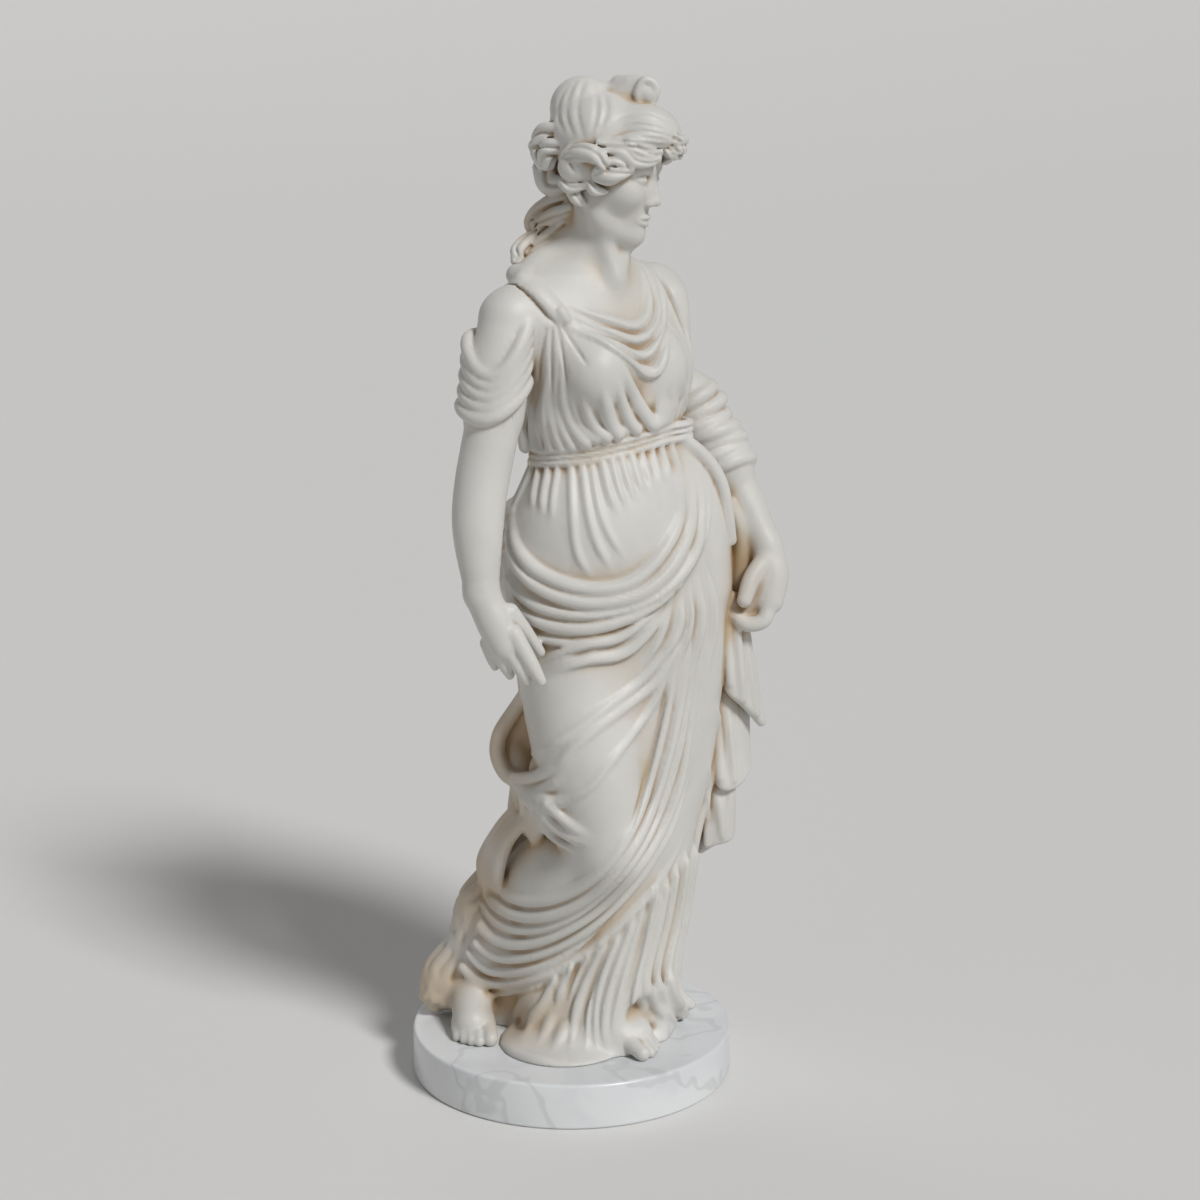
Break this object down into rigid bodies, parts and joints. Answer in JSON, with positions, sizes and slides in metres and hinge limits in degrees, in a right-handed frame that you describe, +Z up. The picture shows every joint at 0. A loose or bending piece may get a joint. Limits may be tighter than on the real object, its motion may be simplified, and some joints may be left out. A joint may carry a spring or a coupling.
{
  "type": "draped maiden statue",
  "caption": "Life-size marble statue of a standing maiden in a belted, draped dress and mantle, with bound hair, on a round marble plinth.",
  "frame": {"origin": "centre of the plinth's underside", "axes": "+Z up; -Y towards the main viewing side; +X to the right as seen from there"},
  "size_m": [0.6536, 0.56, 1.7209],
  "materials": {
    "figure_marble": "smooth honed marble with a warm patina in the folds",
    "plinth_marble": "polished white marble with soft grey veins"
  },
  "bodies": {
    "root": {"draped_figure": "figure_marble", "round_plinth": "plinth_marble"}
  },
  "joints": []
}
